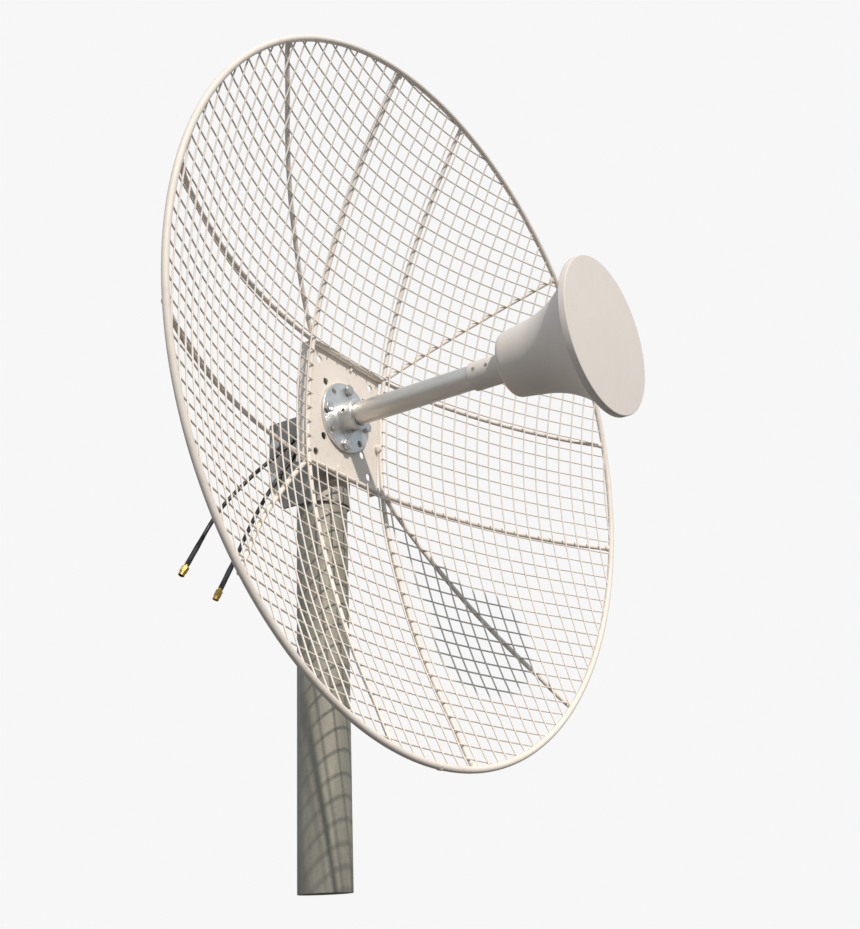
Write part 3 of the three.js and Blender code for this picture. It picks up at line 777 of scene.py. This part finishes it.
def make_hub():
    bore = TUBE_RADIUS + 0.2
    outline = [
        (bore, FLANGE_BACK), (FLANGE_RADIUS, FLANGE_BACK), (FLANGE_RADIUS, FLANGE_FRONT),
        (COLLAR_RADIUS, FLANGE_FRONT), (COLLAR_RADIUS, COLLAR_END), (bore, COLLAR_END),
    ]
    body = lathe(rounded(outline, [0.3, 0.5, 0.9, 2.2, 1.2, 0.6]), 128)
    z = (FLANGE_BACK - 2, FLANGE_FRONT + 2)
    holes = [drill(BOLT_RADIUS + 0.5, x, y, *z) for x, y in around_circle(8, BOLT_CIRCLE)]
    for turn in range(4):
        spin = Matrix.Rotation(turn * math.pi / 2, 4, "Z") @ Matrix.Translation((0, 0, SET_SCREW_AT))
        tap = drill(TAP_RADIUS, 0, 0, TUBE_RADIUS - 1, COLLAR_RADIUS + 3, 24)
        holes.append(tap.moved(spin @ Matrix.Rotation(math.pi / 2, 4, "Y")))
    piece("hub_flange", cut(body, *holes), "aluminium", ["feed_hub"], DISH)
    socket = [(0, 15.3), (2.5, 15.3), (2.6, 18.3), (2.2, 18.7), (1.35, 18.7), (1.25, 16.8), (0, 16.6)]
    for turn, side in enumerate(("right", "top", "left", "bottom")):
        x, y = around_circle(4, BOLT_CIRCLE)[turn]
        at = Matrix.Translation((x, y, 0)) @ Matrix.Rotation(0.35 + 0.6 * turn, 4, "Z")
        start = FLANGE_FRONT + GAP
        bolt = Shape().add(
            hexagon(BOLT_FLATS, start + 0.5, start + BOLT_HEAD),
            lathe([(6.2, start), (6.2, start + 0.6)], 48, around=False),
            rod([(0, 0, PLATE_BACK), (0, 0, start + 1)], BOLT_RADIUS, 32),
        )
        piece(f"hub_bolt_{side}_hex", bolt.moved(at), "fastener", [f"hub_bolt_{side}"], DISH)
        spin = Matrix.Rotation(turn * math.pi / 2, 4, "Z") @ Matrix.Translation((0, 0, SET_SCREW_AT))
        screw = lathe(socket, 24, around=False).moved(spin @ Matrix.Rotation(math.pi / 2, 4, "Y"))
        piece(f"set_screw_{side}_socket", screw, "fastener", [f"set_screw_{side}"], DISH)


make_plate()
make_hub()

# ---- ribs, rim and mesh ----


def bowl(x, y):
    return DISH_DEPTH * (x * x + y * y) / RIM_RADIUS**2


def surface(x, y):
    """Height of the upright ribs' centrelines: a paraboloid that dips onto the plate's front."""
    t = min(1, max(0, (math.hypot(x, y) - 110) / 130))
    return max(PLATE_FRONT + RIB_RADIUS, bowl(x, y) - PLATE_DIP * (1 - t * t * (3 - 2 * t)))


def level_surface(x, y):
    """The same for the level ribs, which pass behind the upright ones."""
    return max(FLAT_RISE, bowl(x, y)) - LEVEL_STEP_BACK


def near_rim(x, y):
    """From 0 well inside the rim to 1 at it."""
    t = min(1, max(0, (math.hypot(x, y) - 395) / 50))
    return t * t * (3 - 2 * t)


def over_surface(start, end, height, steps):
    """Points at that height over the dish on a straight line in plan. They step back behind the rim."""
    points = []
    for i in range(steps + 1):
        x = start[0] + (end[0] - start[0]) * i / steps
        y = start[1] + (end[1] - start[1]) * i / steps
        near = near_rim(x, y)
        points.append(Vector((x, y, height(x, y) * (1 - near) + (bowl(x, y) - RIM_STEP) * near)))
    return points


def make_rib(node, start, end, height=surface):
    points = over_surface(start, end, height, 64)
    shape = rod(points, RIB_RADIUS, 20)
    for at in (points[0], points[-1]):
        if math.hypot(at.x, at.y) > RIM_RADIUS * 0.9:
            out = Vector((at.x, at.y, 0)).normalized()
            shape.add(bead(at + Vector((0, 0, 1)) - out * 1.5, 4.6, (1, 1, 0.8)))
    piece(f"{node}_rod", shape, "coat", [node], DISH)


def make_ribs():
    upright = math.sqrt(RIB_END**2 - RIB_X**2)
    level = math.sqrt(RIB_END**2 - RIB_Y**2)
    make_rib("rib_upright_left", (-RIB_X, -upright), (-RIB_X, upright))
    make_rib("rib_upright_right", (RIB_X, -upright), (RIB_X, upright))
    make_rib("rib_level_top", (-level, RIB_Y), (level, RIB_Y), level_surface)
    make_rib("rib_level_bottom", (-level, -RIB_Y), (level, -RIB_Y), level_surface)
    for (corner, angle), (x, y) in zip(DIAGONALS.items(), four_corners(RIB_X + 6, RIB_Y + 6)):
        far = (RIB_END * math.cos(math.radians(angle)), RIB_END * math.sin(math.radians(angle)))
        make_rib(f"rib_diagonal_{corner}", (x, y), far)


def make_rim():
    loops = []
    for i in range(240):
        angle = 2 * math.pi * i / 240
        out = Vector((math.cos(angle), math.sin(angle), 0))
        turns = [2 * math.pi * k / 20 for k in range(20)]
        centre = out * RIM_RADIUS + Vector((0, 0, DISH_DEPTH))
        up = Vector((0, 0, 1))
        loops.append([centre + (out * math.cos(a) + up * math.sin(a)) * RIM_TUBE for a in turns])
    rim = skin(loops, around=True)
    rim.add(bead((0, -RIM_RADIUS, DISH_DEPTH), RIM_TUBE * 1.18, (0.9, 1, 1)))
    piece("rim_tube", rim, "coat", ["rim"], DISH)


def arc_places(pitch, phase):
    """Places across the dish that are a whole number of pitches apart along its curve."""
    places = []
    for sign in (1, -1):
        travelled, x, step = 0.0, 0.0, 0.25
        target = phase if sign > 0 else pitch - phase
        while x < RIM_RADIUS - 2:
            slope = 2 * DISH_DEPTH * x / RIM_RADIUS**2
            travelled += step * math.sqrt(1 + slope * slope)
            x += step
            if travelled >= target:
                places.append(sign * x)
                target += pitch
    return sorted(places)


def make_wires(name, places, upright, lift, opening, across, rows):
    """One family of the mesh's wires, cut away over the plate and run into the rim."""
    shape = Shape()
    for place in places:
        reach = math.sqrt(WIRE_END**2 - place**2)
        spans = [(-reach, reach)]
        if abs(place) < across:
            spans = [(-reach, -opening), (opening, reach)]
        drift = random.uniform(-0.5, 0.5)
        sway = random.uniform(0.004, 0.011)
        for low, high in spans:
            steps = max(3, round((high - low) / WIRE_STEP))
            points = []
            for i in range(steps + 1):
                t = low + (high - low) * i / steps
                s = place + drift + 0.45 * math.sin(t * sway + place)
                x, y = (s, t) if upright else (t, s)
                points.append(Vector((x, y, surface(x, y) + lift - WIRE_LIFT * near_rim(x, y))))
            shape.add(rod(points, WIRE_RADIUS, 8))
    piece(name, shape, "coat", rows, DISH)


def make_mesh():
    panels = [f"mesh_panel_{r}{c}" for r in range(1, 5) for c in range(1, 5)]
    make_wires(
        "reflector_wires_level", arc_places(LEVEL_PITCH, LEVEL_PHASE), False, WIRE_LIFT,
        RIB_X - 2, RIB_Y - 3, panels[8:],
    )
    make_wires(
        "reflector_wires_upright", arc_places(UPRIGHT_PITCH, UPRIGHT_PHASE % UPRIGHT_PITCH), True,
        WIRE_LIFT + 1.85 * WIRE_RADIUS, RIB_Y - 2, RIB_X - 3, panels[:8],
    )


make_ribs()
make_rim()
make_mesh()

# ---- feed ----


def smooth_profile(points, per_span=5):
    return [(p.x, p.y) for p in catmull([Vector((r, z, 0)) for r, z in points], per_span)]


def make_feed():
    tube_end = BELL_START + 6
    outline = [
        (TUBE_BORE, FLANGE_BACK), (TUBE_RADIUS, FLANGE_BACK),
        (TUBE_RADIUS, tube_end), (TUBE_BORE, tube_end),
    ]
    boom = lathe(rounded(outline, 0.6), 96)
    piece("feed_boom", boom, "drawn", ["feed_tube"], DISH)
    skin_end = DISC_FRONT - DISC_THICK - GAP
    socket = TUBE_RADIUS + GAP
    outer = smooth_profile(
        [(40.5, 256), (43, 274), (47, 299), (54, 320), (64, 338.5), (76.5, 355.5), (88, skin_end)]
    )
    inner = smooth_profile(
        [(85, skin_end), (74, 355), (61, 338), (51, 320), (44, 299), (40, 274), (37, 262)]
    )
    back = [
        (socket, SLEEVE_START), (SLEEVE_RADIUS, SLEEVE_START), (SLEEVE_RADIUS, BELL_START),
        (38.5, BELL_START), (40.5, 256),
    ]
    sleeve = [(p.x, p.y) for p in rounded(back, [0, 0.7, 1.5, 1.6, 0], 5, around=False)]
    bell = lathe([*sleeve, *outer[1:], *inner, (32, tube_end + GAP), (socket, tube_end + GAP)], 128)
    sideways = Matrix.Rotation(-math.pi / 2, 4, "Y")
    turns = {end: Matrix.Translation((0, 0, z)) @ sideways for end, z in HORN_SCREWS.items()}
    tap = drill(TAP_RADIUS, 0, 0, TUBE_RADIUS - 1, SLEEVE_RADIUS + 4, 24)
    taps = [tap.moved(turn) for turn in turns.values()]
    piece("horn_bell", cut(bell, *taps), "plastic", ["feed_horn"], DISH)
    head = [(0, 15.3), (2.45, 15.3), (2.5, 17), (2.1, 17.5), (1.3, 17.5), (1.2, 16.1), (0, 16)]
    for end, turn in turns.items():
        screw = lathe(head, 24, around=False).moved(turn)
        piece(f"horn_screw_{end}_socket", screw, "fastener", [f"horn_screw_{end}"], DISH)
    back_z = DISC_FRONT - DISC_THICK
    outline = [(0.01, back_z), (DISC_RADIUS, back_z), (DISC_RADIUS, DISC_FRONT), (0.01, DISC_FRONT)]
    face = rounded(outline, DISC_EDGE, 5, around=False)
    piece("horn_disc", lathe(face, 160, around=False), "plastic", ["feed_disc"], DISH)
    refined("element_disc", "feed_element", "board", 0.3)
    refined("element_support", "element_post", "aluminium", 0.5)


make_feed()

# ---- stage and light ----


FLOOR_HALF = 3.5
FLOOR_DROP = 0.095
SUN_STRENGTH = 3.2
SUN_ANGLE = math.radians(1.6)
SUN_COLOUR = (1.0, 0.94, 0.87)
TOWARDS_SUN = Vector((-0.58, -1.0, 0.96))
LIGHT_FROM_BELOW = (0.165, 0.165, 0.165, 1)
LIGHT_FROM_ABOVE = (0.56, 0.63, 0.70, 1)
BACKDROP = (247, 247, 247)


def make_floor():
    mesh = bpy.data.meshes.new("floor")
    corners = four_corners(FLOOR_HALF, FLOOR_HALF)
    mesh.from_pydata([(x, y, mast_low.z - FLOOR_DROP) for x, y in corners], [], [(0, 1, 2, 3)])
    floor = bpy.data.objects.new("floor", mesh)
    bpy.context.scene.collection.objects.link(floor)
    f = Finish("pale_floor", (236, 236, 235), specular=0.2)
    f.tint(f.span(f.noise(0.8, 3), 0.3, 0.7, 0, 0.5), (229, 229, 228))
    f.roughness(f.span(f.noise(3, 3), 0.3, 0.7, 0.8, 0.95))
    floor.data.materials.append(f.done())
    floor.visible_diffuse = False
    floor.visible_glossy = False


def make_light():
    sun = bpy.data.lights.new("key", "SUN")
    sun.energy = SUN_STRENGTH
    sun.angle = SUN_ANGLE
    sun.color = SUN_COLOUR
    key = bpy.data.objects.new("key", sun)
    bpy.context.scene.collection.objects.link(key)
    key.rotation_mode = "QUATERNION"
    key.rotation_quaternion = TOWARDS_SUN.to_track_quat("Z", "Y")
    world = bpy.data.worlds.new("studio")
    bpy.context.scene.world = world
    world.use_nodes = True
    tree = world.node_tree
    background = tree.nodes["Background"]
    split = tree.nodes.new("ShaderNodeSeparateXYZ")
    tree.links.new(tree.nodes.new("ShaderNodeTexCoord").outputs["Generated"], split.inputs[0])
    height = tree.nodes.new("ShaderNodeMapRange")
    height.inputs["From Min"].default_value = -0.25
    height.inputs["From Max"].default_value = 0.35
    tree.links.new(split.outputs["Z"], height.inputs["Value"])
    sky = tree.nodes.new("ShaderNodeMix")
    sky.data_type = "RGBA"
    sky.inputs[6].default_value = LIGHT_FROM_BELOW
    sky.inputs[7].default_value = LIGHT_FROM_ABOVE
    tree.links.new(height.outputs["Result"], sky.inputs[0])
    tree.links.new(sky.outputs[2], background.inputs["Color"])
    white = tree.nodes.new("ShaderNodeBackground")
    white.inputs["Color"].default_value = srgb(*BACKDROP)
    paths = tree.nodes.new("ShaderNodeLightPath")
    mix = tree.nodes.new("ShaderNodeMixShader")
    tree.links.new(paths.outputs["Is Camera Ray"], mix.inputs["Fac"])
    tree.links.new(background.outputs[0], mix.inputs[1])
    tree.links.new(white.outputs[0], mix.inputs[2])
    tree.links.new(mix.outputs[0], tree.nodes["World Output"].inputs["Surface"])


make_floor()
make_light()
bpy.context.scene.view_settings.view_transform = "Standard"
